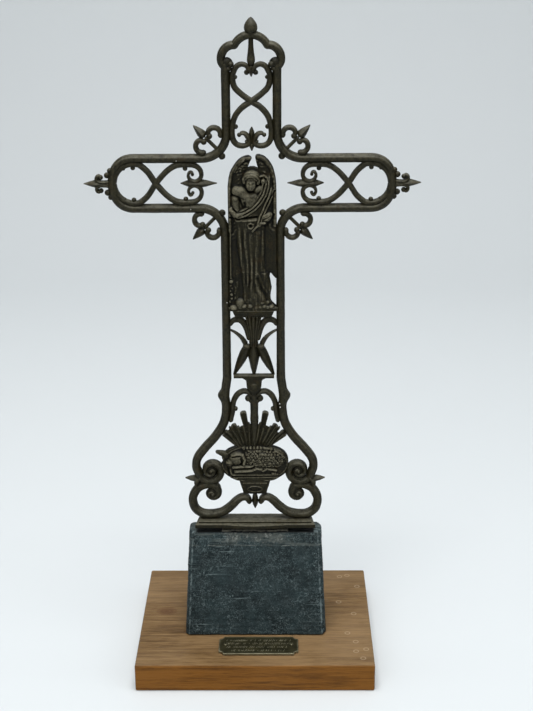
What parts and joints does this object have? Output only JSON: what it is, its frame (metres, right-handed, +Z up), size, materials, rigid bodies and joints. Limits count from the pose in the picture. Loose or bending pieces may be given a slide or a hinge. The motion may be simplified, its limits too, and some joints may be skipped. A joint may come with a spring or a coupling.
{
  "type": "openwork iron cross on a stand",
  "caption": "Openwork cast iron cross with scrolled bars, a winged figure and a lamb medallion in relief, bedded on a slate block on an oak board with a brass plaque; stands on its base.",
  "frame": {"origin": "middle of the board's underside", "axes": "+Z up; front of the cross, with the plaque, towards -Y; the cross's arms run along X"},
  "size_m": [0.2464, 0.152, 0.4984],
  "materials": {
    "iron": "dark brown-black patina, worn lighter on the upper sides",
    "slate": "riven and rubbed slate, dull, with pale streaks and a dusty mortar smear at the top",
    "oak": "oiled oak, low sheen",
    "brass": "dull, darkened brass with a brighter edge"
  },
  "bodies": {
    "root": {"iron_cross": "iron", "stone_block": "slate", "wooden_base": "oak", "plaque": "brass", "plaque_pin_left": "brass", "plaque_pin_right": "brass"}
  },
  "joints": []
}
